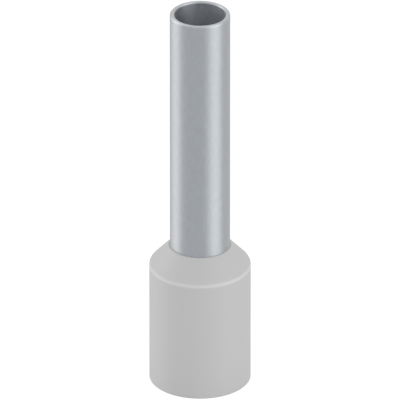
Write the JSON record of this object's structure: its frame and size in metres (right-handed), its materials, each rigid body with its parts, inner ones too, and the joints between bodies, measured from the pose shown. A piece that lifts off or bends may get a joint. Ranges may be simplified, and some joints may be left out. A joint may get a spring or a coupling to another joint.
{
  "type": "wire ferrule",
  "caption": "Insulated wire ferrule: a thin tinned sleeve, open right through, with a grey plastic collar round its flared root.",
  "frame": {"origin": "centre of the collar's open end, on the ring that the ferrule stands on", "axes": "+Z along the axis of the ferrule, from the open end of the collar towards the tip of the bare barrel. The ferrule is a body of revolution, so +X and +Y are free."},
  "size_m": [0.0054, 0.0054, 0.0216],
  "materials": {
    "tinned_metal": "satin tin plate",
    "grey_plastic": "satin moulded polypropylene"
  },
  "bodies": {
    "root": {"metal_sleeve": "tinned_metal", "plastic_collar": "grey_plastic"}
  },
  "joints": []
}
